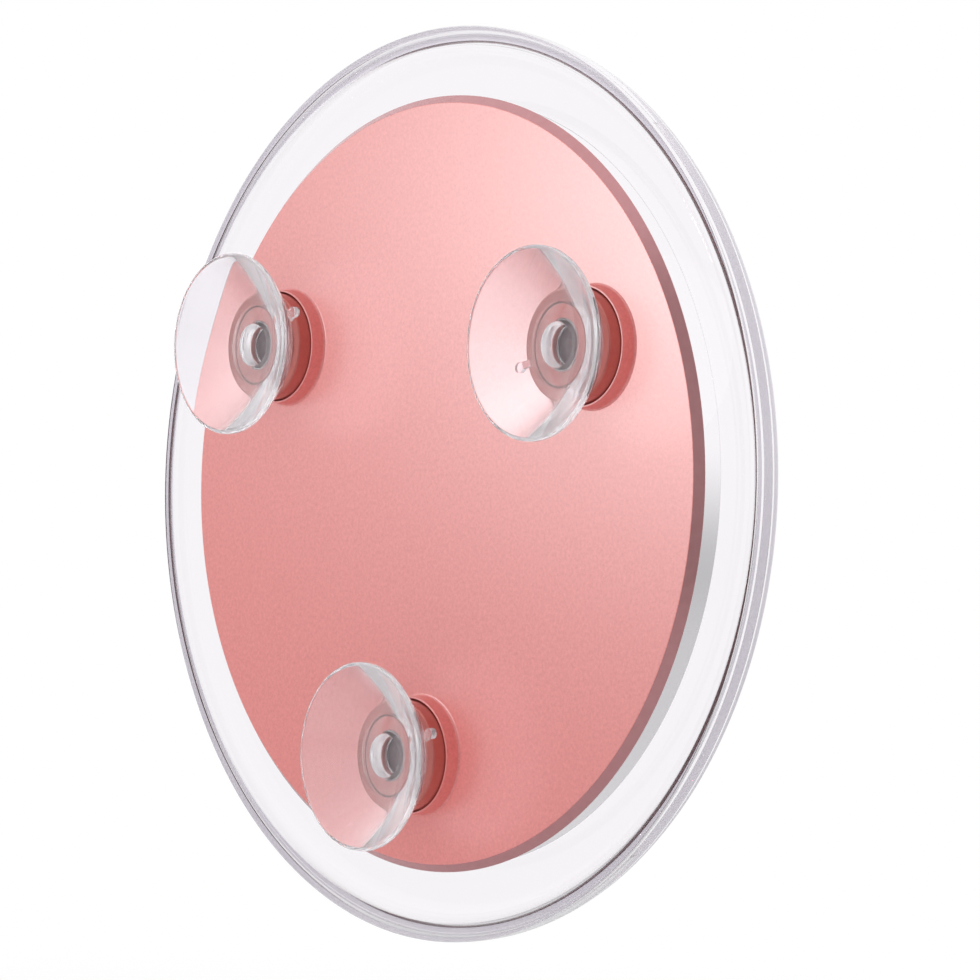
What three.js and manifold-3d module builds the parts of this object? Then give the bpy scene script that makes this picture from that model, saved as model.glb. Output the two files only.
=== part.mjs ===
// Suction cup magnifying mirror, in millimetres, +Z up.
// The three cups point along +Y, to the wall, and the glass faces along -Y.
// The origin is the middle of the plane that the cups' lips lie in, which is the wall.
// Left and right are as seen from the wall side, where +X is at the left.
import * as THREE from 'three';
import { mergeVertices } from 'three/addons/utils/BufferGeometryUtils.js';
import Module from 'manifold-3d';

// How finely round things are divided
const rimSegments = 64;
const glassSegments = 48;
const cupSegments = 28;
const screwSegments = 10;
const roundingSteps = 4;
const curveSteps = 5;

// Clearances
const fitGap = 0.3;
const turnGap = 0.35;
const cutOverrun = 1;

// Clear rim
const rimBoreRadius = 63.9;
const rimWidth = 12.6;
const rimThickness = 8;
const rimBackRounding = 0.3;
const rimFrontRounding = 6.2;
const snapGrooveDepth = 0.5;
const snapGrooveWidth = 1.2;
const snapGrooveInset = 0.5;

// Rear cover
const coverRise = 1.4;
const coverOverlap = 1.05;
const coverBevelWidth = 1.4;
const coverWall = 1.4;
const skirtDepth = 3.5;
const skirtWall = 1;

// Suction cup
const cupInset = 18.05;
const cupHeight = 8.05;
const lipRadius = 15.6;
const lipLandWidth = 0.6;
const lipThickness = 0.7;
const hubWall = 2.25;
const cupWall = 4;
const neckRadius = 4.3;
const headRadius = 6.4;
const headThickness = 2;
const headRounding = 0.5;
const dimpleRadius = 3.6;
const dimpleFloorRadius = 3.1;
const dimpleDepth = 3.2;
const pipRadius = 1.2;
const pipHeight = 0.7;

// Release tab on the cup
const tabReach = 11.2;
const tabRoot = 1.5;
const tabWidth = 1.2;
const tabEndRadius = 0.9;
const tabThickness = 1.1;

// Socket and its ring
const socketWall = 1.6;
const socketHeight = 5.1;
const socketFloor = 1.2;
const socketEdge = 0.4;
const flangeWidth = 2.9;
const flangeThickness = 1.6;
const ringLedge = 0.65;
const ringThickness = 1.4;

// Collar round each socket
const collarHeight = 2.7;
const collarGap = 0.2;
const collarLand = 0.35;
const collarDraft = 0.05;
const collarFlareWidth = 0.4;
const collarFlareHeight = 0.4;

// Inner tray
const trayWall = 1.2;
const trayFloor = 1.2;
const trayFloorWidth = 14;

// Tray screws
const screwCount = 6;
const screwInset = 8.2;
const screwRadius = 0.95;
const screwHeadRadius = 1.9;
const screwHeadHeight = 0.95;
const screwLength = 3.2;
const screwPoint = 0.5;
const screwGap = 0.18;
const screwBossRadius = 2.5;
const recessLength = 1.9;
const recessWidth = 0.45;
const recessDepth = 0.5;

// Glass, its silver and its cushion
const glassThickness = 1.8;
const glassHollow = 3;
const glassInset = 0.4;
const silverThickness = 0.15;
const silverGap = 0.05;
const cushionWidth = 4;
const cushionInset = 0.6;
const cushionGap = 0.1;

// Places along Y that follow from the sizes: the wall is at zero
const hubBaseY = -cupHeight;
const socketTopY = hubBaseY - fitGap;
const ringBottomY = socketTopY - ringThickness;
const coverFaceY = socketTopY - socketHeight;
const coverInnerY = coverFaceY - coverWall;
const rimBackY = coverFaceY - coverRise;
const rimFrontY = rimBackY - rimThickness;
const skirtEndY = rimBackY - skirtDepth;
const trayFloorTopY = coverInnerY - flangeThickness;
const trayFloorBottomY = trayFloorTopY - trayFloor;
const headTopY = ringBottomY - turnGap;
const headBottomY = headTopY - headThickness;
const glassEdgeY = rimFrontY + glassInset;

// Radii that follow from the sizes
const rimRadius = rimBoreRadius + rimWidth;
const coverEdgeRadius = rimBoreRadius + coverOverlap;
const coverFaceRadius = coverEdgeRadius - coverBevelWidth;
const skirtRadius = rimBoreRadius - fitGap;
const skirtInnerRadius = skirtRadius - skirtWall;
const trayRadius = rimBoreRadius - fitGap;
const trayShoulderRadius = skirtInnerRadius - fitGap;
const trayInnerRadius = trayShoulderRadius - trayWall;
const trayOpeningRadius = trayShoulderRadius - trayFloorWidth;
const glassRadius = trayInnerRadius - fitGap;
const cupCircleRadius = coverFaceRadius - cupInset;
const screwCircleRadius = trayShoulderRadius - screwInset;
const ringBoreRadius = neckRadius + turnGap;
const chamberRadius = headRadius + turnGap;
const ringRadius = chamberRadius + ringLedge;
const ringSeatRadius = ringRadius + fitGap;
const socketRadius = ringSeatRadius + socketWall;
const flangeRadius = socketRadius + flangeWidth;
const collarBoreRadius = socketRadius + collarGap;
const collarRadius = collarBoreRadius + collarLand;
const collarWaistRadius = collarRadius + collarDraft;
const collarToeRadius = collarWaistRadius + collarFlareWidth;

// Where the three cups sit, and which way each one's release tab happens to point
const places = [
  { side: 'right', angle: 30, tab: 202 },
  { side: 'left', angle: 150, tab: 34 },
  { side: 'bottom', angle: 270, tab: 25 },
];

const wasm = await Module();
wasm.setup();

// Turns a closed geometry into a solid that can be joined and cut
function solidOf(geometry) {
  const bare = geometry.index ? geometry.toNonIndexed() : geometry.clone();
  for (const name of Object.keys(bare.attributes)) {
    if (name !== 'position') bare.deleteAttribute(name);
  }
  const merged = mergeVertices(bare);
  const corners = merged.index.array;
  const kept = [];
  for (let i = 0; i < corners.length; i += 3) {
    const [a, b, c] = [corners[i], corners[i + 1], corners[i + 2]];
    if (a !== b && b !== c && c !== a) kept.push(a, b, c);
  }
  return new wasm.Manifold(new wasm.Mesh({
    numProp: 3,
    vertProperties: new Float32Array(merged.attributes.position.array),
    triVerts: new Uint32Array(kept),
  }));
}

// Turns a solid back into a geometry
function geometryOf(solid) {
  const mesh = solid.getMesh();
  const geometry = new THREE.BufferGeometry();
  geometry.setAttribute('position', new THREE.BufferAttribute(new Float32Array(mesh.vertProperties), 3));
  geometry.setIndex(new THREE.BufferAttribute(new Uint32Array(mesh.triVerts), 1));
  geometry.computeVertexNormals();
  return geometry;
}

// A solid turned about the Y axis, from points [radius, y] that run up its outside
function turned(points, segments) {
  const profile = points.map(([radius, y]) => new THREE.Vector2(radius, y));
  const closesOnAxis = points[0][0] === 0 && points[points.length - 1][0] === 0;
  if (!closesOnAxis) profile.push(profile[0].clone());
  return solidOf(new THREE.LatheGeometry(profile, segments));
}

// Points of a round corner about a centre, from one angle to another in degrees
function corner(centreRadius, centreY, radius, from, to) {
  const points = [];
  for (let i = 0; i <= roundingSteps; i += 1) {
    const angle = THREE.MathUtils.degToRad(from + ((to - from) * i) / roundingSteps);
    points.push([centreRadius + radius * Math.cos(angle), centreY + radius * Math.sin(angle)]);
  }
  return points;
}

// Points along a curve given by a function of the radius
function along(curve, fromRadius, toRadius) {
  const points = [];
  for (let i = 0; i <= curveSteps; i += 1) {
    const radius = fromRadius + ((toRadius - fromRadius) * i) / curveSteps;
    points.push([radius, curve(radius)]);
  }
  return points;
}

// A place on a circle about the mirror's axis, at an angle seen from the wall side
function onCircle(radius, degrees) {
  const angle = THREE.MathUtils.degToRad(degrees);
  return [-radius * Math.cos(angle), radius * Math.sin(angle)];
}

function movedTo(solid, radius, degrees) {
  const [x, z] = onCircle(radius, degrees);
  return solid.translate([x, 0, z]);
}

const group = new THREE.Group();

// Adds a named mesh with its own material
function addMesh(name, solid, finish, place = [0, 0], turn = 0) {
  const mesh = new THREE.Mesh(geometryOf(solid), new THREE.MeshStandardMaterial(finish));
  mesh.name = name;
  mesh.position.set(place[0], 0, place[1]);
  mesh.rotation.y = turn;
  group.add(mesh);
}

const clearAcrylic = { color: 0xf7f3f9, roughness: 0.04, metalness: 0, transparent: true, opacity: 0.35 };
const clearVinyl = { color: 0xefe9f4, roughness: 0.1, metalness: 0, transparent: true, opacity: 0.4 };
const roseGoldPaint = { color: 0xe9a9a6, roughness: 0.45, metalness: 0.35 };
const roseGoldGloss = { color: 0xc9736c, roughness: 0.2, metalness: 0.3 };
const palePlastic = { color: 0xe2e2e4, roughness: 0.45, metalness: 0 };
const clearGlass = { color: 0xf4faf7, roughness: 0.02, metalness: 0, transparent: true, opacity: 0.3 };
const silvering = { color: 0xdfe3e6, roughness: 0.05, metalness: 1 };
const whiteFoam = { color: 0xf2f2f0, roughness: 0.9, metalness: 0 };
const zincSteel = { color: 0xb9bcc0, roughness: 0.35, metalness: 1 };

// Clear rim: one moulded ring with a flat back, a widely rounded front and a groove in its bore
function clearRim() {
  const grooveRadius = rimBoreRadius + snapGrooveDepth;
  const grooveBackY = rimBackY - snapGrooveInset;
  const grooveFrontY = grooveBackY - snapGrooveWidth;
  return turned([
    [rimBoreRadius, rimFrontY],
    ...corner(rimRadius - rimFrontRounding, rimFrontY + rimFrontRounding, rimFrontRounding, -90, 0),
    ...corner(rimRadius - rimBackRounding, rimBackY - rimBackRounding, rimBackRounding, 0, 90),
    [rimBoreRadius, rimBackY],
    [rimBoreRadius, grooveBackY],
    [grooveRadius, grooveBackY],
    [grooveRadius, grooveFrontY],
    [rimBoreRadius, grooveFrontY],
  ], rimSegments);
}

// Collar on the cover: an upright lip with a small flare where it meets the cover's face
function collar() {
  const flare = [];
  for (let i = 0; i <= roundingSteps; i += 1) {
    const angle = (Math.PI / 2) * (i / roundingSteps);
    flare.push([
      collarToeRadius - collarFlareWidth * Math.sin(angle),
      coverFaceY + collarFlareHeight * (1 - Math.cos(angle)),
    ]);
  }
  return turned([
    [0, coverInnerY],
    [collarToeRadius, coverInnerY],
    ...flare,
    [collarRadius, coverFaceY + collarHeight],
    [0, coverFaceY + collarHeight],
  ], cupSegments);
}

// Rear cover: a bevelled disc with a skirt that snaps into the rim, three collars with bores,
// and posts for the screws
function rearCover() {
  const beadRadius = rimBoreRadius + snapGrooveDepth - fitGap;
  const beadBackY = rimBackY - snapGrooveInset - fitGap;
  const beadFrontY = rimBackY - snapGrooveInset - snapGrooveWidth + fitGap;
  let cover = turned([
    [0, coverInnerY],
    [skirtInnerRadius, coverInnerY],
    [skirtInnerRadius, skirtEndY],
    [skirtRadius, skirtEndY],
    [skirtRadius, beadFrontY],
    [beadRadius, beadFrontY],
    [beadRadius, beadBackY],
    [skirtRadius, beadBackY],
    [skirtRadius, rimBackY],
    [coverEdgeRadius, rimBackY],
    [coverFaceRadius, coverFaceY],
    [0, coverFaceY],
  ], rimSegments);
  const bore = turned([
    [0, coverInnerY - cutOverrun],
    [collarBoreRadius, coverInnerY - cutOverrun],
    [collarBoreRadius, coverFaceY + collarHeight + cutOverrun],
    [0, coverFaceY + collarHeight + cutOverrun],
  ], cupSegments);
  for (const place of places) {
    cover = cover.add(movedTo(collar(), cupCircleRadius, place.angle));
    cover = cover.subtract(movedTo(bore, cupCircleRadius, place.angle));
  }
  const post = turned([
    [0, trayFloorTopY],
    [screwBossRadius, trayFloorTopY],
    [screwBossRadius, coverInnerY + coverWall / 2],
    [0, coverInnerY + coverWall / 2],
  ], screwSegments);
  const pilot = turned([
    [0, trayFloorTopY - cutOverrun],
    [screwRadius + screwGap, trayFloorTopY - cutOverrun],
    [screwRadius + screwGap, trayFloorBottomY + screwLength + screwGap],
    [0, trayFloorBottomY + screwLength + screwGap],
  ], screwSegments);
  for (let i = 0; i < screwCount; i += 1) {
    const angle = (360 / screwCount) * i;
    cover = cover.add(movedTo(post, screwCircleRadius, angle));
    cover = cover.subtract(movedTo(pilot, screwCircleRadius, angle));
  }
  return cover;
}

// Socket: a flanged cup behind the cover that stands out through the collar
function cupSocket() {
  const flangeBottomY = coverInnerY - flangeThickness;
  const chamberFloorY = headBottomY - turnGap;
  return turned([
    [0, chamberFloorY - socketFloor],
    [chamberRadius, chamberFloorY - socketFloor],
    [chamberRadius, flangeBottomY],
    [flangeRadius, flangeBottomY],
    [flangeRadius, coverInnerY],
    [socketRadius, coverInnerY],
    [socketRadius, socketTopY - socketEdge],
    [socketRadius - socketEdge, socketTopY],
    [ringSeatRadius, socketTopY],
    [ringSeatRadius, ringBottomY],
    [chamberRadius, ringBottomY],
    [chamberRadius, chamberFloorY],
    [0, chamberFloorY],
  ], cupSegments);
}

// Socket ring: sits on the ledge inside the socket and keeps the cup's head in
function socketRing() {
  return turned([
    [ringBoreRadius, ringBottomY],
    [ringRadius, ringBottomY],
    [ringRadius, socketTopY],
    [ringBoreRadius, socketTopY],
  ], cupSegments);
}

// Release tab: a short flat bar from the hub with a round end, along +X
function releaseTab() {
  const halfWidth = tabWidth / 2;
  const endCentre = tabReach - tabEndRadius;
  const meet = Math.asin(halfWidth / tabEndRadius);
  const outline = new THREE.Shape();
  outline.moveTo(neckRadius + tabRoot, -halfWidth);
  outline.lineTo(endCentre - tabEndRadius * Math.cos(meet), -halfWidth);
  outline.absarc(endCentre, 0, tabEndRadius, Math.PI + meet, Math.PI - meet, false);
  outline.lineTo(neckRadius + tabRoot, halfWidth);
  const bar = new THREE.ExtrudeGeometry(outline, {
    depth: tabThickness, bevelEnabled: false, curveSegments: roundingSteps * 2,
  });
  bar.rotateX(-Math.PI / 2);
  bar.translate(0, hubBaseY, 0);
  return solidOf(bar);
}

// Suction cup: lip, thick dish with a flat base and a dimple, neck and the head that the socket holds
function suctionCup() {
  const dishRadius = lipRadius - lipLandWidth;
  const dishDepth = cupHeight - hubWall;
  const backDepth = dishDepth + cupWall;
  const dish = (radius) => -dishDepth * (1 - (radius / dishRadius) ** 2);
  const back = (radius) => -lipThickness - backDepth * (1 - (radius / lipRadius) ** 2);
  const baseRadius = lipRadius * Math.sqrt(1 - (cupHeight - lipThickness) / backDepth);
  const dimpleFloorY = dish(dimpleRadius) - dimpleDepth;
  const profile = [
    [0, headBottomY],
    ...corner(headRadius - headRounding, headBottomY + headRounding, headRounding, -90, 0),
    [headRadius, headTopY],
    [neckRadius, headTopY],
    [neckRadius, hubBaseY],
    ...along(back, baseRadius, lipRadius),
    [lipRadius, 0],
    ...along(dish, dishRadius, dimpleRadius),
    [dimpleFloorRadius, dimpleFloorY],
    [pipRadius, dimpleFloorY],
    [pipRadius, dimpleFloorY + pipHeight],
    [0, dimpleFloorY + pipHeight],
  ];
  return turned(profile, cupSegments).add(releaseTab());
}

// Inner tray: a wall in the rim's bore that steps in behind the skirt, and a floor for the cushion
function innerTray() {
  const shoulderY = skirtEndY - fitGap;
  let tray = turned([
    [trayOpeningRadius, trayFloorBottomY],
    [trayInnerRadius, trayFloorBottomY],
    [trayInnerRadius, rimFrontY],
    [trayRadius, rimFrontY],
    [trayRadius, shoulderY],
    [trayShoulderRadius, shoulderY],
    [trayShoulderRadius, trayFloorTopY],
    [trayOpeningRadius, trayFloorTopY],
  ], rimSegments);
  const hole = turned([
    [0, trayFloorBottomY - cutOverrun],
    [screwHeadRadius + screwGap, trayFloorBottomY - cutOverrun],
    [screwHeadRadius + screwGap, trayFloorBottomY],
    [screwRadius + screwGap, trayFloorBottomY + screwHeadHeight],
    [screwRadius + screwGap, trayFloorTopY + cutOverrun],
    [0, trayFloorTopY + cutOverrun],
  ], screwSegments);
  for (let i = 0; i < screwCount; i += 1) {
    tray = tray.subtract(movedTo(hole, screwCircleRadius, (360 / screwCount) * i));
  }
  return tray;
}

// Tray screw: countersunk, with a cross recess, pointing to the cover
function trayScrew() {
  const tipY = trayFloorBottomY + screwLength;
  const screw = turned([
    [0, trayFloorBottomY],
    [screwHeadRadius, trayFloorBottomY],
    [screwRadius, trayFloorBottomY + screwHeadHeight],
    [screwRadius, tipY - screwPoint],
    [0, tipY],
  ], screwSegments);
  const slot = new THREE.BoxGeometry(recessLength, recessDepth * 2, recessWidth);
  slot.translate(0, trayFloorBottomY, 0);
  const cross = slot.clone();
  cross.rotateY(Math.PI / 2);
  return screw.subtract(solidOf(slot)).subtract(solidOf(cross));
}

// The glass is hollow towards the user: its front and back surfaces are the same shallow bowl
const glassFront = (radius) => glassEdgeY + glassHollow * (1 - (radius / glassRadius) ** 2);
const glassBack = (radius) => glassFront(radius) + glassThickness;
const silverFront = (radius) => glassBack(radius) + silverGap;
const silverBack = (radius) => silverFront(radius) + silverThickness;

// A bowl between two surfaces, out to a radius
function bowl(lower, upper, radius) {
  return turned([...along(lower, 0, radius), ...along(upper, radius, 0)], glassSegments);
}

// Cushion: foam between the tray's floor and the sloping back of the glass
function glassCushion() {
  const outerRadius = glassRadius - cushionInset;
  const innerRadius = outerRadius - cushionWidth;
  return turned([
    [innerRadius, silverBack(innerRadius) + cushionGap],
    [outerRadius, silverBack(outerRadius) + cushionGap],
    [outerRadius, trayFloorBottomY],
    [innerRadius, trayFloorBottomY],
  ], glassSegments);
}

addMesh('clear_rim', clearRim(), clearAcrylic);
addMesh('rear_cover', rearCover(), roseGoldPaint);
addMesh('inner_tray', innerTray(), palePlastic);
addMesh('magnifying_glass', bowl(glassFront, glassBack, glassRadius), clearGlass);
addMesh('silver_backing', bowl(silverFront, silverBack, glassRadius), silvering);
addMesh('glass_cushion', glassCushion(), whiteFoam);

for (const { side, angle, tab } of places) {
  const place = onCircle(cupCircleRadius, angle);
  addMesh(`cup_socket_${side}`, cupSocket(), roseGoldGloss, place);
  addMesh(`socket_ring_${side}`, socketRing(), roseGoldGloss, place);
  addMesh(`suction_cup_${side}`, suctionCup(), clearVinyl, place, Math.PI + THREE.MathUtils.degToRad(tab));
}

for (let i = 0; i < screwCount; i += 1) {
  const place = onCircle(screwCircleRadius, (360 / screwCount) * i);
  addMesh(`tray_screw_${i + 1}`, trayScrew(), zincSteel, place);
}

export default group;
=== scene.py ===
import math

import bmesh
import bpy
from mathutils import Matrix, Vector


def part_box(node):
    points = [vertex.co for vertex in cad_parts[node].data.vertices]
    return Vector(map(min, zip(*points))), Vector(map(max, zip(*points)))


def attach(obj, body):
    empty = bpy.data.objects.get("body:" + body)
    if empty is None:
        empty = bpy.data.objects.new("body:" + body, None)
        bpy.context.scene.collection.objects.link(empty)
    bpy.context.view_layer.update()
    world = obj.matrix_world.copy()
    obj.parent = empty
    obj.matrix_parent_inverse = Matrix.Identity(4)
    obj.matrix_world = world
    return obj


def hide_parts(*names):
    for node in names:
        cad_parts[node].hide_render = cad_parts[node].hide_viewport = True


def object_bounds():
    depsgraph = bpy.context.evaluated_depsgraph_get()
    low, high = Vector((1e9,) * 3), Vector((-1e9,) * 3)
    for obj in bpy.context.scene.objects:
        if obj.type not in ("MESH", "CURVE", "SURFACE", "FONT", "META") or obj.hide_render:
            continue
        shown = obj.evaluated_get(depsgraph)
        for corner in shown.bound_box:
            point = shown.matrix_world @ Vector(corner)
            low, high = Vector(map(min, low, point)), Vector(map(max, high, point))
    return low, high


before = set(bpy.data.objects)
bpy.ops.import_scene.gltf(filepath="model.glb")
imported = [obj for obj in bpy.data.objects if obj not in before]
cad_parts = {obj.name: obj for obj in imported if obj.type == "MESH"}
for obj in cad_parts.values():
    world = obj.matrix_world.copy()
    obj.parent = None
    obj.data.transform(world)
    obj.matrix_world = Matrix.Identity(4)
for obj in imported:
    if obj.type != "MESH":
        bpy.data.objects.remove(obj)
cad_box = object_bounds()


# Camera: a long lens a little over two thirds of a metre away, level with the mirror's
# middle, which looks at the rear of the mirror from the right of the cups. Its place and
# turn were fitted to the rim's, the cover's and the cups' outlines in the photograph.
camera_place = Vector((-0.53604, 0.43725, 0.00197))
camera_tilt = math.radians(89.7712)
camera_roll = math.radians(-1.9432)
camera_turn = math.radians(-130.8689)
camera_lens = 153.91
camera_nearest = 0.01

camera_data = bpy.data.cameras.new("camera")
camera_data.lens = camera_lens
camera_data.clip_start = camera_nearest
camera = bpy.data.objects.new("camera", camera_data)
camera.location = camera_place
camera.rotation_euler = (camera_tilt, camera_roll, camera_turn)
bpy.context.collection.objects.link(camera)
bpy.context.scene.camera = camera
bpy.context.scene.view_settings.view_transform = "Standard"


# Light paths: light is caught many times over inside the clear rim and cups before it
# finds its way out, so it may bounce more often than Blender's usual limit. Their
# polish stays sharp after a bounce, or it would gather light beside the cups.
clear_bounces = 32

cycles = bpy.context.scene.cycles
cycles.max_bounces = clear_bounces
cycles.glossy_bounces = clear_bounces
cycles.transmission_bounces = clear_bounces
cycles.blur_glossy = 0.0


# Studio: a white room. To what shines or is clear it is darker on one side, and to what
# something shiny mirrors it is greyer low down, so that edges and mirror have tones in
# them. A small lamp on the cups' side lights the painted face from the left.
def rgb(red, green, blue):
    """A colour as it shows on a screen, from 0 to 255, as Blender's scene colour."""
    shares = [value / 255 for value in (red, green, blue)]
    return [v / 12.92 if v <= 0.04045 else ((v + 0.055) / 1.055) ** 2.4 for v in shares]


def wire(tree, source, target):
    tree.links.new(source, target)


def node(tree, kind, **settings):
    """Adds a node. Settings named in_N fill its input N, and the rest are its own."""
    made = tree.nodes.new(kind)
    for name, value in settings.items():
        if name.startswith("in_"):
            made.inputs[int(name[3:])].default_value = value
        else:
            setattr(made, name, value)
    return made


room_light = 0.90
bright_side_light = 1.0
dark_side = Vector((-0.45, 0.89, -0.80))
dark_side_edge = 0.3
dark_side_light = 0.30
dark_side_through = 0.70
low_side_light = 0.60
low_side_from = -0.25
low_side_to = 0.2

world = bpy.data.worlds.new("studio")
bpy.context.scene.world = world
world.use_nodes = True
tree = world.node_tree
background = tree.nodes["Background"]
path = node(tree, "ShaderNodeLightPath")
direction = node(tree, "ShaderNodeTexCoord")

# How light the room is on each side.
towards = node(tree, "ShaderNodeVectorMath", operation="DOT_PRODUCT", in_1=dark_side)
wire(tree, direction.outputs["Generated"], towards.inputs[0])
dark_light = node(tree, "ShaderNodeMix", in_2=dark_side_light, in_3=dark_side_through)
wire(tree, path.outputs["Is Transmission Ray"], dark_light.inputs[0])
shade = node(
    tree, "ShaderNodeMapRange", interpolation_type="SMOOTHSTEP",
    in_1=-dark_side_edge, in_2=dark_side_edge, in_3=bright_side_light,
)
wire(tree, towards.outputs["Value"], shade.inputs[0])
wire(tree, dark_light.outputs[0], shade.inputs[4])

# How light it is low down, once something shiny has mirrored it.
axes = node(tree, "ShaderNodeSeparateXYZ")
wire(tree, direction.outputs["Generated"], axes.inputs[0])
horizon = node(
    tree, "ShaderNodeMapRange", interpolation_type="SMOOTHSTEP",
    in_1=low_side_from, in_2=low_side_to, in_3=low_side_light, in_4=1.0,
)
wire(tree, axes.outputs["Z"], horizon.inputs[0])
mirrored = node(tree, "ShaderNodeMath", operation="MINIMUM", in_1=1.0)
wire(tree, path.outputs["Glossy Depth"], mirrored.inputs[0])
horizon_light = node(tree, "ShaderNodeMix", in_2=1.0)
wire(tree, mirrored.outputs[0], horizon_light.inputs[0])
wire(tree, horizon.outputs[0], horizon_light.inputs[3])
room_shade = node(tree, "ShaderNodeMath", operation="MULTIPLY")
wire(tree, shade.outputs[0], room_shade.inputs[0])
wire(tree, horizon_light.outputs[0], room_shade.inputs[1])

# Only shiny and clear surfaces see those tones. The camera sees plain white.
shown_ray = node(tree, "ShaderNodeMath", operation="MAXIMUM")
wire(tree, path.outputs["Is Glossy Ray"], shown_ray.inputs[0])
wire(tree, path.outputs["Is Transmission Ray"], shown_ray.inputs[1])
shown_light = node(tree, "ShaderNodeMix", in_2=room_light)
wire(tree, shown_ray.outputs[0], shown_light.inputs[0])
wire(tree, room_shade.outputs[0], shown_light.inputs[3])
all_light = node(tree, "ShaderNodeMix", in_3=1.0)
wire(tree, path.outputs["Is Camera Ray"], all_light.inputs[0])
wire(tree, shown_light.outputs[0], all_light.inputs[2])
wire(tree, all_light.outputs[0], background.inputs["Strength"])
background.inputs["Color"].default_value = (1, 1, 1, 1)

key_place = (0.438, 0.548, 0.097)
key_aim = (0.0, 0.0, 0.0)
key_width = 0.1
key_power = 0.98


def softbox(name, place, aim, width, power):
    lamp = bpy.data.lights.new(name, "AREA")
    lamp.shape = "DISK"
    lamp.size = width
    lamp.energy = power
    box = bpy.data.objects.new(name, lamp)
    box.location = place
    box.rotation_euler = (Vector(aim) - Vector(place)).to_track_quat("-Z", "Y").to_euler()
    box.visible_transmission = False
    bpy.context.collection.objects.link(box)
    return box


key = softbox("key_softbox", key_place, key_aim, key_width, key_power)


# Floor: seamless white paper, five centimetres under the rim. It holds the soft shadow
# that falls straight down, and thins out to nothing in the white of the room further out.
floor_gap = 0.05
floor_half = 3.0
floor_corners = ((-1, -1), (1, -1), (1, 1), (-1, 1))
paper_colour = rgb(246, 246, 247)
paper_roughness = 0.9
shadow_reach = 0.16
white_reach = 0.45
shadow_thinness = 0.6

floor_mesh = bpy.data.meshes.new("paper_floor")
floor_z = cad_box[0].z - floor_gap
floor_mesh.from_pydata(
    [(x * floor_half, y * floor_half, floor_z) for x, y in floor_corners], [], [(0, 1, 2, 3)],
)
floor = bpy.data.objects.new("paper_floor", floor_mesh)
bpy.context.collection.objects.link(floor)
paper = bpy.data.materials.new("white_paper")
paper.use_nodes = True
tree = paper.node_tree
matt = tree.nodes["Principled BSDF"]
matt.inputs["Base Color"].default_value = (*paper_colour, 1)
matt.inputs["Roughness"].default_value = paper_roughness
open_room = node(tree, "ShaderNodeBsdfTransparent")
place = node(tree, "ShaderNodeTexCoord")
length = node(tree, "ShaderNodeVectorMath", operation="LENGTH")
wire(tree, place.outputs["Object"], length.inputs[0])
fade = node(
    tree, "ShaderNodeMapRange", interpolation_type="SMOOTHSTEP",
    in_1=shadow_reach, in_2=white_reach, in_3=shadow_thinness, in_4=1.0,
)
wire(tree, length.outputs["Value"], fade.inputs[0])
blend = node(tree, "ShaderNodeMixShader")
wire(tree, fade.outputs[0], blend.inputs[0])
wire(tree, matt.outputs[0], blend.inputs[1])
wire(tree, open_room.outputs[0], blend.inputs[2])
wire(tree, blend.outputs[0], tree.nodes["Material Output"].inputs["Surface"])
floor_mesh.materials.append(paper)


# Clear rim: one ring of polished clear acrylic, flat behind with a crisp back edge, and
# rounded widely in front. The cover closes its bore from behind, and a bead on the
# cover's skirt snaps into the groove near its back.
flat_margin = 0.00003
no_length = 1e-7
sharp_angle = math.radians(30)


def softened(corners, steps=6):
    """Points of a section, from corners of radius, place along Y and rounding. A point
    close to each end of a rounding keeps the shading of the flat beside it flat."""
    points = []
    for i, (radius, along, rounding) in enumerate(corners):
        here = Vector((radius, along))
        if rounding == 0:
            points.append(here)
            continue
        before = (Vector(corners[i - 1][:2]) - here).normalized()
        after = (Vector(corners[(i + 1) % len(corners)][:2]) - here).normalized()
        half = before.angle(after) / 2
        middle = here + (before + after).normalized() * rounding / math.sin(half)
        start = here + before * rounding / math.tan(half) - middle
        end = here + after * rounding / math.tan(half) - middle
        sweep = math.atan2(start.cross(end), start.dot(end))
        points.append(middle + start + before * flat_margin)
        for k in range(steps + 1):
            points.append(middle + Matrix.Rotation(sweep * k / steps, 2) @ start)
        points.append(middle + end + after * flat_margin)
    return points


def shade_flats_flat(data):
    """Smooth shading, apart from sharp edges and from faces that lie square to Y."""
    data.shade_smooth()
    data.set_sharp_from_angle(angle=sharp_angle)
    for face in data.polygons:
        depths = [data.vertices[corner].co.y for corner in face.vertices]
        if max(depths) - min(depths) < no_length:
            face.use_smooth = False


def solid(name, mesh):
    data = bpy.data.meshes.new(name)
    mesh.to_mesh(data)
    mesh.free()
    shade_flats_flat(data)
    made = bpy.data.objects.new(name, data)
    bpy.context.collection.objects.link(made)
    return made


def turned(name, points, segments, centre=(0.0, 0.0)):
    """A closed piece turned about a line along Y. Points on the line itself close it."""
    mesh = bmesh.new()
    rings = []
    for radius, along in points:
        if radius < no_length:
            rings.append([mesh.verts.new((centre[0], along, centre[1]))])
            continue
        rings.append([
            mesh.verts.new((
                centre[0] + radius * math.cos(math.tau * k / segments),
                along,
                centre[1] + radius * math.sin(math.tau * k / segments),
            ))
            for k in range(segments)
        ])
    pairs = list(zip(rings, rings[1:]))
    if points[0][0] > no_length:
        pairs.append((rings[-1], rings[0]))
    for one, other in pairs:
        for k in range(segments):
            following = (k + 1) % segments
            corners = [one[k % len(one)], one[following % len(one)],
                       other[following % len(other)], other[k % len(other)]]
            mesh.faces.new(list(dict.fromkeys(corners)))
    bmesh.ops.recalc_face_normals(mesh, faces=mesh.faces)
    return solid(name, mesh)


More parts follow.
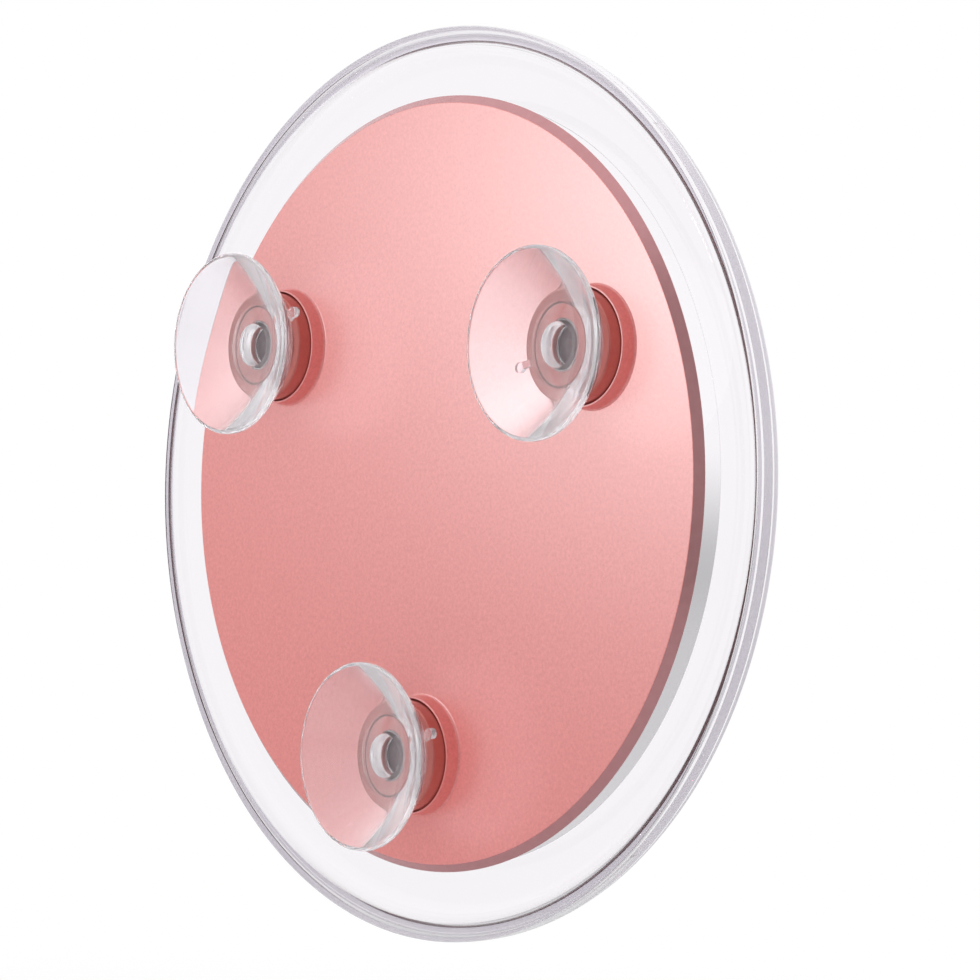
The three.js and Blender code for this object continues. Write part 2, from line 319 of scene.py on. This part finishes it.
def finish(name, colour, **settings):
    """A material and its Principled shader, with the shader's sockets set by name."""
    made = bpy.data.materials.new(name)
    made.use_nodes = True
    shader = made.node_tree.nodes["Principled BSDF"]
    shader.inputs["Base Color"].default_value = (*colour, 1)
    for socket, value in settings.items():
        label = socket.replace("_", " ").title().replace("Ior", "IOR")
        shader.inputs[label].default_value = value
    return made, shader


def let_light_by(material, shader, tint):
    """Lets lamps shine through a clear material, so that its shadow is a pale one."""
    tree = material.node_tree
    path = node(tree, "ShaderNodeLightPath")
    open_air = node(tree, "ShaderNodeBsdfTransparent", in_0=(*tint, 1))
    blend = node(tree, "ShaderNodeMixShader")
    wire(tree, path.outputs["Is Shadow Ray"], blend.inputs[0])
    wire(tree, shader.outputs[0], blend.inputs[1])
    wire(tree, open_air.outputs[0], blend.inputs[2])
    wire(tree, blend.outputs[0], tree.nodes["Material Output"].inputs["Surface"])


def texture(material, kind, **settings):
    """A texture that stays in its place on the piece."""
    tree = material.node_tree
    place = node(tree, "ShaderNodeTexCoord")
    made = node(tree, kind, **settings)
    wire(tree, place.outputs["Object"], made.inputs["Vector"])
    return made


def tint_by(material, shader, value, tints):
    """Lets a texture's value mix two tints."""
    tree = material.node_tree
    tint = node(
        tree, "ShaderNodeMix", data_type="RGBA", in_6=(*tints[0], 1), in_7=(*tints[1], 1),
    )
    wire(tree, value, tint.inputs[0])
    wire(tree, tint.outputs[2], shader.inputs["Base Color"])


def raise_by(material, shader, value, strength, height):
    """Lets a texture's value raise the surface, by up to height in metres."""
    tree = material.node_tree
    relief = node(tree, "ShaderNodeBump", in_0=strength, in_1=height)
    wire(tree, value, relief.inputs["Height"])
    wire(tree, relief.outputs[0], shader.inputs["Normal"])


def polish_by(material, shader, value, between, roughness):
    """Lets a texture's value, between two of its values, vary the roughness."""
    tree = material.node_tree
    polish = node(
        tree, "ShaderNodeMapRange",
        in_1=between[0], in_2=between[1], in_3=roughness[0], in_4=roughness[1],
    )
    wire(tree, value, polish.inputs[0])
    wire(tree, polish.outputs[0], shader.inputs["Roughness"])


patch_detail = 3.0
patch_blend = 0.5
patch_values = (0.3, 0.7)
fine_height = 0.00002


def polish_unevenly(material, shader, size, roughness, wave=0.0, tints=None):
    """Varies a surface's polish between two values, over patches whose size is about one
    over size, in metres. It may also stand in faint waves, and vary between two tints."""
    patches = texture(
        material, "ShaderNodeTexNoise", in_2=size, in_3=patch_detail, in_4=patch_blend,
    )
    polish_by(material, shader, patches.outputs["Fac"], patch_values, roughness)
    if wave:
        raise_by(material, shader, patches.outputs["Fac"], wave, fine_height)
    if tints:
        tint_by(material, shader, patches.outputs["Fac"], tints)


rim_low, rim_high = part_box("clear_rim")
rim_radius = rim_high.x
rim_back = rim_high.y
rim_front = rim_low.y
rim_bore = 0.0639
rim_back_round = 0.0003
rim_front_round = 0.0062
bore_edge_round = 0.0001
groove_radius = 0.0644
groove_inset = 0.0005
groove_width = 0.0012
groove_back = rim_back - groove_inset
groove_front = groove_back - groove_width
rim_round_steps = 10
rim_segments = 256
acrylic_colour = (0.984, 0.962, 0.990)
acrylic_patches = 60.0
acrylic_polish = (0.0, 0.012)
clear_shadow = (0.96, 0.95, 0.965)

clear_rim = turned("clear_rim_polished", softened([
    (rim_bore, rim_front, bore_edge_round),
    (rim_radius, rim_front, rim_front_round),
    (rim_radius, rim_back, rim_back_round),
    (rim_bore, rim_back, bore_edge_round),
    (rim_bore, groove_back, 0),
    (groove_radius, groove_back, 0),
    (groove_radius, groove_front, 0),
    (rim_bore, groove_front, 0),
], steps=rim_round_steps), rim_segments)
acrylic, shader = finish(
    "clear_acrylic", acrylic_colour, roughness=0.0, transmission_weight=1.0, ior=1.49,
)
let_light_by(acrylic, shader, clear_shadow)
polish_unevenly(acrylic, shader, acrylic_patches, acrylic_polish)
clear_rim.data.materials.append(acrylic)
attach(clear_rim, "mirror")
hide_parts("clear_rim")


# Rear cover: a thin moulded disc with a bevelled edge, sprayed in a satin rose gold with
# a fine metallic grain. Its bevel is left bright. Three collars stand up out of its face
# round the sockets, and a skirt under it centres it in the rim's bore.
cup_places = {
    side: Vector(((low.x + high.x) / 2, (low.z + high.z) / 2))
    for side in ("right", "left", "bottom")
    for low, high in [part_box(f"cup_socket_{side}")]
}
cover_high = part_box("rear_cover")[1]
cover_edge = cover_high.x
cover_edge_round = 0.00005
cover_rise = 0.0014
cover_wall = 0.0014
bevel_width = 0.0014
bevel_round = 0.00018
face_y = rim_back + cover_rise
face_radius = cover_edge - bevel_width
seat_gap = 0.00002
skirt_radius = 0.0636
skirt_wall = 0.0010
skirt_length = 0.0035
skirt_round = 0.0001
skirt_end = rim_back - skirt_length
bead_radius = 0.0641
bead_gap = 0.0003
bead_front = groove_front + bead_gap
bead_back = groove_back - bead_gap
collar_height = cover_high.y - face_y
collar_bore = 0.0095
collar_bore_round = 0.0001
collar_radius = 0.00985
collar_top_round = 0.00012
collar_waist = 0.0099
collar_toe = 0.0103
collar_flare = 0.0004
flare_steps = 12
post_count = 6
post_circle = 0.0541
post_radius = 0.0025
post_round = 0.0002
pilot_radius = 0.00113
pilot_round = 0.0001
post_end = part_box("inner_tray")[1].y
cover_segments = 256
collar_segments = 96
post_segments = 32

cover = turned("rear_cover_painted", softened([
    (0.0, face_y - cover_wall, 0),
    (skirt_radius - skirt_wall, face_y - cover_wall, 0),
    (skirt_radius - skirt_wall, skirt_end, 0),
    (skirt_radius, skirt_end, skirt_round),
    (skirt_radius, bead_front, 0),
    (bead_radius, bead_front, skirt_round),
    (bead_radius, bead_back, skirt_round),
    (skirt_radius, bead_back, 0),
    (skirt_radius, rim_back + seat_gap, 0),
    (cover_edge, rim_back + seat_gap, cover_edge_round),
    (face_radius, face_y, bevel_round),
    (0.0, face_y, 0),
]), cover_segments)


def carve(piece, tool, operation):
    """Joins a tool to a piece, or cuts it out of it, and removes the tool."""
    change = piece.modifiers.new("carve", "BOOLEAN")
    change.operation = operation
    change.solver = "EXACT"
    change.object = tool
    with bpy.context.temp_override(object=piece, active_object=piece):
        bpy.ops.object.modifier_apply(modifier=change.name)
    bpy.data.objects.remove(tool)


def collar_section():
    """A collar's outside, from its flared foot up over its lip and down its bore."""
    flare = []
    for k in range(flare_steps + 1):
        angle = math.pi / 2 * k / flare_steps
        flare.append((
            collar_toe - (collar_toe - collar_waist) * math.sin(angle),
            face_y + collar_flare * (1 - math.cos(angle)),
        ))
    top = face_y + collar_height
    inside = face_y - cover_wall / 2
    lip = softened([
        (collar_waist, face_y + collar_flare, 0),
        (collar_radius, top, collar_top_round),
        (collar_bore, top, collar_bore_round),
        (collar_bore, inside, 0),
    ])
    return [(0.0, inside), (collar_toe, inside), *flare, *[tuple(p) for p in lip[1:-1]]]


for side, middle in cup_places.items():
    section = collar_section()
    plug = turned(f"collar_{side}", [*section, (0.0, section[-1][1])], collar_segments, middle)
    carve(cover, plug, "UNION")
for side, middle in cup_places.items():
    bore = turned(f"bore_{side}", [
        (0.0, face_y - 2 * cover_wall), (collar_bore, face_y - 2 * cover_wall),
        (collar_bore, face_y + 2 * collar_height), (0.0, face_y + 2 * collar_height),
    ], collar_segments, middle)
    carve(cover, bore, "DIFFERENCE")
post_places = [
    Vector((-post_circle * math.cos(turn), post_circle * math.sin(turn)))
    for k in range(post_count) for turn in [math.tau * k / post_count]
]
for k, spot in enumerate(post_places):
    post = turned(f"post_{k}", softened([
        (pilot_radius, post_end, pilot_round),
        (post_radius, post_end, post_round),
        (post_radius, face_y - cover_wall / 2, 0),
        (pilot_radius, face_y - cover_wall / 2, 0),
    ]), post_segments, spot)
    carve(cover, post, "UNION")
shade_flats_flat(cover.data)

satin_roughness = 0.34
satin_gloss = 1.8
satin_deep = rgb(194, 88, 84)
satin_pale = rgb(243, 140, 136)
satin_grain = 1700.0
satin_grain_detail = 3.0
satin_grain_blend = 0.7
satin_relief = 0.35
satin, shader = finish(
    "satin_rose_gold", satin_deep,
    roughness=satin_roughness, ior=satin_gloss, specular_ior_level=1.0,
)
grain = texture(
    satin, "ShaderNodeTexNoise",
    in_2=satin_grain, in_3=satin_grain_detail, in_4=satin_grain_blend,
)
tint_by(satin, shader, grain.outputs["Fac"], (satin_deep, satin_pale))
raise_by(satin, shader, grain.outputs["Fac"], satin_relief, fine_height)

bright_colour = rgb(200, 144, 147)
bright_tints = (rgb(194, 137, 140), rgb(206, 151, 154))
bright_patches = 700.0
bright_polish = (0.12, 0.22)
bright_wave = 0.1
bright, shader = finish("bright_rose_gold", bright_colour, metallic=0.6, roughness=0.16)
polish_unevenly(bright, shader, bright_patches, bright_polish, bright_wave, bright_tints)

# A dark plastic for the cover's hidden underside and skirt. Inside the sockets' chambers the
# same dark colour is painted shade, standing in for the shade of those closed hollows round
# the cups' heads.
bare_plastic_and_shade_colour = rgb(84, 40, 46)
bare_plastic_and_shade_tints = (rgb(78, 36, 42), rgb(90, 44, 50))
bare_plastic_and_shade_patches = 500.0
bare_plastic_and_shade_polish = (0.38, 0.52)
bare_plastic_and_shade_wave = 0.15
bare_plastic_and_shade, shader = finish("bare_rose_plastic_and_painted_shade", bare_plastic_and_shade_colour, roughness=0.45)
polish_unevenly(bare_plastic_and_shade, shader, bare_plastic_and_shade_patches, bare_plastic_and_shade_polish, bare_plastic_and_shade_wave, bare_plastic_and_shade_tints)

bevel_margin = 0.0001
face_margin = 0.00005
for material in (satin, bright, bare_plastic_and_shade):
    cover.data.materials.append(material)
for face in cover.data.polygons:
    spot = face.center
    reach = math.hypot(spot.x, spot.z)
    if spot.y < rim_back + 2 * seat_gap:
        face.material_index = 2
    elif reach > face_radius - bevel_margin and spot.y < face_y - face_margin:
        face.material_index = 1
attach(cover, "mirror")
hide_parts("rear_cover")


# Sockets: flanged cups moulded in glossy rose gold plastic, clamped between the cover and
# the tray. Each stands out through its collar and holds a cup's head under a pressed ring.
socket_low, socket_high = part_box("cup_socket_right")
socket_top = socket_high.y
socket_radius = 0.0093
socket_seat = 0.0077
socket_chamber = 0.00675
socket_edge = 0.0003
socket_seat_round = 0.0001
socket_chamber_round = 0.0003
flange_radius = (socket_high.x - socket_low.x) / 2
flange_top = face_y - cover_wall
flange_step = 0.0002
flange_round = 0.0002
ring_low, ring_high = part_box("socket_ring_right")
head_gap = 0.00035
chamber_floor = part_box("suction_cup_right")[0].y - head_gap
socket_floor = 0.0012
socket_segments = 96

gloss_colour = rgb(190, 108, 100)
gloss_tints = (rgb(184, 101, 93), rgb(196, 115, 107))
gloss_patches = 900.0
gloss_polish = (0.11, 0.19)
gloss_wave = 0.08
gloss, shader = finish(
    "gloss_rose_gold", gloss_colour,
    metallic=0.55, roughness=0.14, coat_weight=0.4, coat_roughness=0.05,
)
polish_unevenly(gloss, shader, gloss_patches, gloss_polish, gloss_wave, gloss_tints)
for side, middle in cup_places.items():
    socket = turned(f"socket_{side}_moulded", softened([
        (0.0, chamber_floor - socket_floor, 0),
        (socket_chamber, chamber_floor - socket_floor, socket_chamber_round),
        (socket_chamber + flange_step, socket_low.y, flange_round),
        (flange_radius, socket_low.y, flange_round),
        (flange_radius, flange_top, flange_round),
        (socket_radius, flange_top, flange_round),
        (socket_radius, socket_top, socket_edge),
        (socket_seat, socket_top, socket_seat_round),
        (socket_seat, ring_low.y, socket_seat_round),
        (socket_chamber, ring_low.y, socket_seat_round),
        (socket_chamber, chamber_floor, socket_chamber_round),
        (0.0, chamber_floor, 0),
    ]), socket_segments, middle)
    socket.data.materials.append(gloss)
    socket.data.materials.append(bare_plastic_and_shade)
    for face in socket.data.polygons:
        reach = (Vector((face.center.x, face.center.z)) - middle).length
        # Faces inside the chamber take the dark plastic as painted shade.
        if reach < socket_seat and face.center.y < ring_low.y:
            face.material_index = 1
    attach(socket, "mirror")
    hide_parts(f"cup_socket_{side}")

ring_radius = (ring_high.x - ring_low.x) / 2
ring_bore = 0.00465
ring_edge = 0.0002
for side, middle in cup_places.items():
    ring = turned(f"ring_{side}_pressed", softened([
        (ring_bore, ring_low.y, ring_edge),
        (ring_radius, ring_low.y, ring_edge),
        (ring_radius, ring_high.y, ring_edge),
        (ring_bore, ring_high.y, ring_edge),
    ]), socket_segments, middle)
    ring.data.materials.append(gloss)
    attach(ring, "mirror")
    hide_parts(f"socket_ring_{side}")


# Suction cups: moulded in one piece in soft clear vinyl. A thin flat lip, a dish that is
# thick up to its flat base, a dimple left by the mould's core with a pip at its bottom,
# a neck and a head for the socket, and a short tab beside the neck to lift the lip by.
lip_radius = 0.0156
lip_land = 0.0006
lip_thickness = 0.0007
lip_outer_round = 0.0002
lip_flat_round = 0.00025
dish_radius = lip_radius - lip_land
dish_round = 0.0002
dish_depth = 0.0058
dish_run_out = 0.0004
dish_steps = 48
cup_wall = 0.004
hub_base = -0.00805
hub_round = 0.0003
neck_radius = 0.0043
neck_round = 0.0002
head_radius = 0.0064
head_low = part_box("suction_cup_right")[0].y
head_low_round = 0.0005
head_top = ring_low.y - head_gap
head_top_round = 0.0003
dimple_mouth = 0.0036
dimple_mouth_round = 0.0003
dimple_floor = 0.0031
dimple_floor_round = 0.0005
dimple_depth = 0.0032
pip_radius = 0.0012
pip_foot_round = 0.0002
pip_height = 0.0007
pip_top_round = 0.0003
tab_reach = 0.0112
tab_root = 0.0015
tab_width = 0.0012
tab_end = 0.0009
tab_thickness = 0.0011
tab_steps = 24
tab_angles = {"right": 202, "left": 34, "bottom": 25}
cup_segments = 128

vinyl_colour = (0.985, 0.975, 0.998)
vinyl_clearness = 0.93
vinyl_roughness = 0.02
vinyl_patches = 180.0
vinyl_wave = 0.1
vinyl, shader = finish(
    "clear_vinyl", vinyl_colour,
    roughness=vinyl_roughness, transmission_weight=vinyl_clearness, ior=1.53,
)
let_light_by(vinyl, shader, clear_shadow)
polish_unevenly(vinyl, shader, vinyl_patches, (0.0, 2 * vinyl_roughness), vinyl_wave)


def dish_inside(radius):
    return -dish_depth * (1 - (radius / dish_radius) ** 2)


def dish_outside(radius):
    return -lip_thickness - (dish_depth + cup_wall) * (1 - (radius / lip_radius) ** 2)


def cup_section():
    """A cup's section, from its head out over the dish, round the lip and back inside."""
    start = lip_radius * math.sqrt(1 + (hub_base + lip_thickness) / (dish_depth + cup_wall))
    outside = [
        (r, dish_outside(r)) for k in range(dish_steps)
        for r in [start + (lip_radius - start) * k / dish_steps]
    ]
    inside = [
        (r, dish_inside(r)) for k in range(1, dish_steps)
        for r in [dish_radius + (dimple_mouth + dish_run_out - dish_radius) * k / dish_steps]
    ]
    dimple_end = dish_inside(dimple_mouth) - dimple_depth
    stem = softened([
        (0.0, head_low, 0),
        (head_radius, head_low, head_low_round),
        (head_radius, head_top, head_top_round),
        (neck_radius, head_top, neck_round),
        (neck_radius, hub_base, hub_round),
        (start, dish_outside(start), hub_round),
        (outside[2][0], outside[2][1], 0),
    ])
    lip = softened([
        (outside[-1][0], outside[-1][1], 0),
        (lip_radius, -lip_thickness, lip_outer_round),
        (lip_radius, 0.0, lip_flat_round),
        (dish_radius, 0.0, dish_round),
        (inside[0][0], inside[0][1], 0),
    ])
    dimple = softened([
        (inside[-1][0], inside[-1][1], 0),
        (dimple_mouth, dish_inside(dimple_mouth), dimple_mouth_round),
        (dimple_floor, dimple_end, dimple_floor_round),
        (pip_radius, dimple_end, pip_foot_round),
        (pip_radius, dimple_end + pip_height, pip_top_round),
        (0.0, dimple_end + pip_height, 0),
    ])
    return [tuple(p) for p in (*stem[:-1], *outside[3:-1], *lip[:-1], *inside[1:-1], *dimple)]


def tab(side, middle):
    """A flat bar with a round end, from inside the dish's base outwards."""
    turn = math.pi + math.radians(tab_angles[side])
    outline = []
    neck = math.asin(tab_width / 2 / tab_end)
    for k in range(tab_steps + 1):
        angle = -math.pi + neck + (math.tau - 2 * neck) * k / tab_steps
        outline.append((
            tab_reach - tab_end + tab_end * math.cos(angle),
            tab_end * math.sin(angle),
        ))
    root = neck_radius + tab_root
    outline = [(root, -tab_width / 2), *outline, (root, tab_width / 2)]
    mesh = bmesh.new()
    layers = []
    for height in (hub_base, hub_base + tab_thickness):
        layers.append([
            mesh.verts.new((
                middle.x + x * math.cos(turn) + z * math.sin(turn),
                height,
                middle.y - x * math.sin(turn) + z * math.cos(turn),
            ))
            for x, z in outline
        ])
    mesh.faces.new(layers[0])
    mesh.faces.new(layers[1])
    for k in range(len(outline)):
        other = (k + 1) % len(outline)
        mesh.faces.new((layers[0][k], layers[0][other], layers[1][other], layers[1][k]))
    bmesh.ops.recalc_face_normals(mesh, faces=mesh.faces)
    return solid(f"tab_{side}", mesh)


for side, middle in cup_places.items():
    cup = turned(f"suction_cup_{side}_clear", cup_section(), cup_segments, middle)
    carve(cup, tab(side, middle), "UNION")
    shade_flats_flat(cup.data)
    cup.data.materials.append(vinyl)
    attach(cup, f"cup_{side}")
    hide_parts(f"suction_cup_{side}")


# Inner tray: a pale moulded ring in the rim's bore. Its wall steps in behind the cover's
# skirt, and its floor is held to the cover's posts by six countersunk screws.
tray_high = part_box("inner_tray")[1]
tray_radius = tray_high.x
tray_wall = 0.0012
tray_round = 0.0002
tray_bore_round = 0.0003
tray_shoulder = 0.0623
tray_bore = tray_shoulder - tray_wall
shoulder_gap = 0.0003
shoulder_y = skirt_end - shoulder_gap
tray_opening = 0.0483
tray_floor_high = tray_high.y
screw_low, screw_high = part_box("tray_screw_1")
tray_floor_low = screw_low.y
screw_radius = 0.00095
screw_head = 0.0019
screw_head_depth = 0.00095
screw_gap = 0.00018
tray_segments = 256

tray = turned("inner_tray_moulded", softened([
    (tray_opening, tray_floor_low, tray_round),
    (tray_bore, tray_floor_low, tray_bore_round),
    (tray_bore, rim_front, tray_round),
    (tray_radius, rim_front, tray_round),
    (tray_radius, shoulder_y, tray_round),
    (tray_shoulder, shoulder_y, tray_round),
    (tray_shoulder, tray_floor_high, tray_round),
    (tray_opening, tray_floor_high, tray_round),
]), tray_segments)
for k, spot in enumerate(post_places):
    hole = turned(f"screw_hole_{k}", [
        (0.0, tray_floor_low - screw_gap),
        (screw_head + screw_gap, tray_floor_low - screw_gap),
        (screw_head + screw_gap, tray_floor_low),
        (screw_radius + screw_gap, tray_floor_low + screw_head_depth),
        (screw_radius + screw_gap, tray_floor_high + screw_gap),
        (0.0, tray_floor_high + screw_gap),
    ], post_segments, spot)
    carve(tray, hole, "DIFFERENCE")
shade_flats_flat(tray.data)

tray_colour = rgb(228, 226, 230)
tray_tints = (rgb(222, 220, 226), rgb(233, 231, 235))
tray_flow = 90.0
tray_flow_detail = 3.0
tray_flow_blend = 0.5
tray_spark = 1500.0
tray_spark_detail = 2.0
tray_spark_blend = 0.6
tray_relief = 0.2
tray_plastic, shader = finish("pale_tray_plastic", tray_colour, roughness=0.35)
flow = texture(
    tray_plastic, "ShaderNodeTexNoise",
    in_2=tray_flow, in_3=tray_flow_detail, in_4=tray_flow_blend,
)
tint_by(tray_plastic, shader, flow.outputs["Fac"], tray_tints)
spark = texture(
    tray_plastic, "ShaderNodeTexNoise",
    in_2=tray_spark, in_3=tray_spark_detail, in_4=tray_spark_blend,
)
raise_by(tray_plastic, shader, spark.outputs["Fac"], tray_relief, fine_height)
tray.data.materials.append(tray_plastic)
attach(tray, "mirror")
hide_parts("inner_tray")


# Tray screws: six countersunk self-tapping screws of zinc plated steel with a cross
# recess. They hold the tray to the cover's posts and are hidden behind the glass.
screw_tip = screw_high.y
screw_edge = 0.0001
thread_pitch = 0.00045
thread_depth = 0.00018
recess_length = 0.0019
recess_width = 0.00045
recess_depth = 0.0005
recess_arms = (
    (recess_length, 2 * recess_depth, recess_width),
    (recess_width, 2 * recess_depth, recess_length),
)
zinc_spangle = 1800.0
zinc_polish = (0.26, 0.42)
zinc, shader = finish("zinc_plate", rgb(186, 189, 192), metallic=1.0, roughness=0.32)
spangle = texture(zinc, "ShaderNodeTexVoronoi", in_2=zinc_spangle)
polish_by(zinc, shader, spangle.outputs["Distance"], (0.0, 1.0), zinc_polish)

for k, spot in enumerate(post_places):
    thread = []
    low = tray_floor_low + screw_head_depth + thread_pitch / 2
    while low + thread_pitch < screw_tip - 2 * thread_depth:
        thread += [(screw_radius - thread_depth, low), (screw_radius, low + thread_pitch / 2)]
        low += thread_pitch
    screw = turned(f"tray_screw_{k + 1}_zinc", [
        (0.0, tray_floor_low),
        (screw_head - screw_edge, tray_floor_low),
        (screw_head, tray_floor_low + screw_edge),
        (screw_radius, tray_floor_low + screw_head_depth),
        *thread,
        (screw_radius - thread_depth, low),
        (0.0, screw_tip),
    ], post_segments, spot)
    for size in recess_arms:
        mesh = bmesh.new()
        bmesh.ops.create_cube(mesh, size=1.0)
        for corner in mesh.verts:
            corner.co = Vector(c * s for c, s in zip(corner.co, size))
            corner.co += Vector((spot.x, tray_floor_low, spot.y))
        carve(screw, solid(f"recess_{k}", mesh), "DIFFERENCE")
    shade_flats_flat(screw.data)
    screw.data.materials.append(zinc)
    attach(screw, "mirror")
    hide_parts(f"tray_screw_{k + 1}")


# Magnifying glass: a round of clear glass, slumped to a shallow even bowl that is hollow
# towards the user, with its edge ground and polished. It lies in the tray on the cushion.
glass_low, glass_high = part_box("magnifying_glass")
glass_radius = glass_high.x
glass_edge = glass_low.y
glass_hollow = 0.003
glass_thickness = 0.0018
glass_chamfer = 0.0003
bowl_steps = 40
bowl_segments = 192
glass_colour = (0.985, 0.995, 0.99)
glass_shadow = (0.95, 0.96, 0.955)
glass_patches = 40.0
glass_polish = (0.0, 0.004)


def bowl_front(radius):
    return glass_edge + glass_hollow * (1 - (radius / glass_radius) ** 2)


def bowl(name, offset, thickness, radius, chamfer):
    """A bowl like the glass's front surface, set back by offset and of even thickness."""
    reaches = [(radius - chamfer) * k / bowl_steps for k in range(bowl_steps + 1)]
    front = [(r, bowl_front(r) + offset) for r in reaches]
    back = [(r, bowl_front(r) + offset + thickness) for r in reversed(reaches)]
    edge = [
        (radius, bowl_front(radius) + offset + chamfer),
        (radius, bowl_front(radius) + offset + thickness - chamfer),
    ]
    return turned(name, [*front, *edge, *back], bowl_segments)


glass = bowl("magnifying_glass_clear", 0.0, glass_thickness, glass_radius, glass_chamfer)
clear_glass, shader = finish(
    "clear_mirror_glass", glass_colour, roughness=0.0, transmission_weight=1.0, ior=1.52,
)
let_light_by(clear_glass, shader, glass_shadow)
polish_unevenly(clear_glass, shader, glass_patches, glass_polish)
glass.data.materials.append(clear_glass)
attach(glass, "mirror")
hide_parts("magnifying_glass")


# Silver coat: silvering laid on the back of the glass, which it follows from edge to
# edge. It is drawn thicker than a real coat, and the paint over it is left out.
silver_gap = 0.00005
silver_thickness = 0.00015
silver_colour = (0.93, 0.94, 0.945)
silver_patches = 120.0
silver_polish = (0.005, 0.015)
silver = bowl(
    "silver_coat_laid", glass_thickness + silver_gap, silver_thickness,
    glass_radius, silver_thickness / 4,
)
silvering, shader = finish("silvering", silver_colour, roughness=0.01, metallic=1.0)
polish_unevenly(silvering, shader, silver_patches, silver_polish)
silver.data.materials.append(silvering)
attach(silver, "mirror")
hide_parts("silver_backing")


# Cushion: a ring of soft white foam, cut square, between the tray's floor and the silver.
# Its front slopes as the silver does, and it keeps the glass from rattling in the tray.
cushion_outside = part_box("glass_cushion")[1].x
cushion_width = 0.004
cushion_inside = cushion_outside - cushion_width
cushion_gap = 0.0001
cushion_round = 0.0002
cushion_front = glass_thickness + silver_gap + silver_thickness + cushion_gap
foam_colour = rgb(243, 243, 240)
foam_tints = (rgb(228, 228, 224), rgb(247, 247, 245))
foam_cells = 1400.0
foam_relief = 0.6
foam_cell_height = 0.0002
cushion = turned("glass_cushion_foam", softened([
    (cushion_inside, bowl_front(cushion_inside) + cushion_front, cushion_round),
    (cushion_outside, bowl_front(cushion_outside) + cushion_front, cushion_round),
    (cushion_outside, tray_floor_low, cushion_round),
    (cushion_inside, tray_floor_low, cushion_round),
]), bowl_segments)
foam, shader = finish("white_foam", foam_colour, roughness=0.9)
cells = texture(foam, "ShaderNodeTexVoronoi", in_2=foam_cells)
tint_by(foam, shader, cells.outputs["Distance"], foam_tints)
raise_by(foam, shader, cells.outputs["Distance"], foam_relief, foam_cell_height)
cushion.data.materials.append(foam)
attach(cushion, "mirror")
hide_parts("glass_cushion")


# Key lamp's reach: light comes from so many sides in the photograph that the sockets and
# cups throw no hard shadow on the face. So this lamp lights the painted cover and the
# floor alone, and only the tray, the cushion and the silver stop it.
lit_side = bpy.data.collections.new("key_lit_side")
shadow_makers = bpy.data.collections.new("key_shadow_makers")
for body in (cover, floor):
    lit_side.objects.link(body)
for body in (tray, silver, cushion):
    shadow_makers.objects.link(body)
key.light_linking.receiver_collection = lit_side
key.light_linking.blocker_collection = shadow_makers
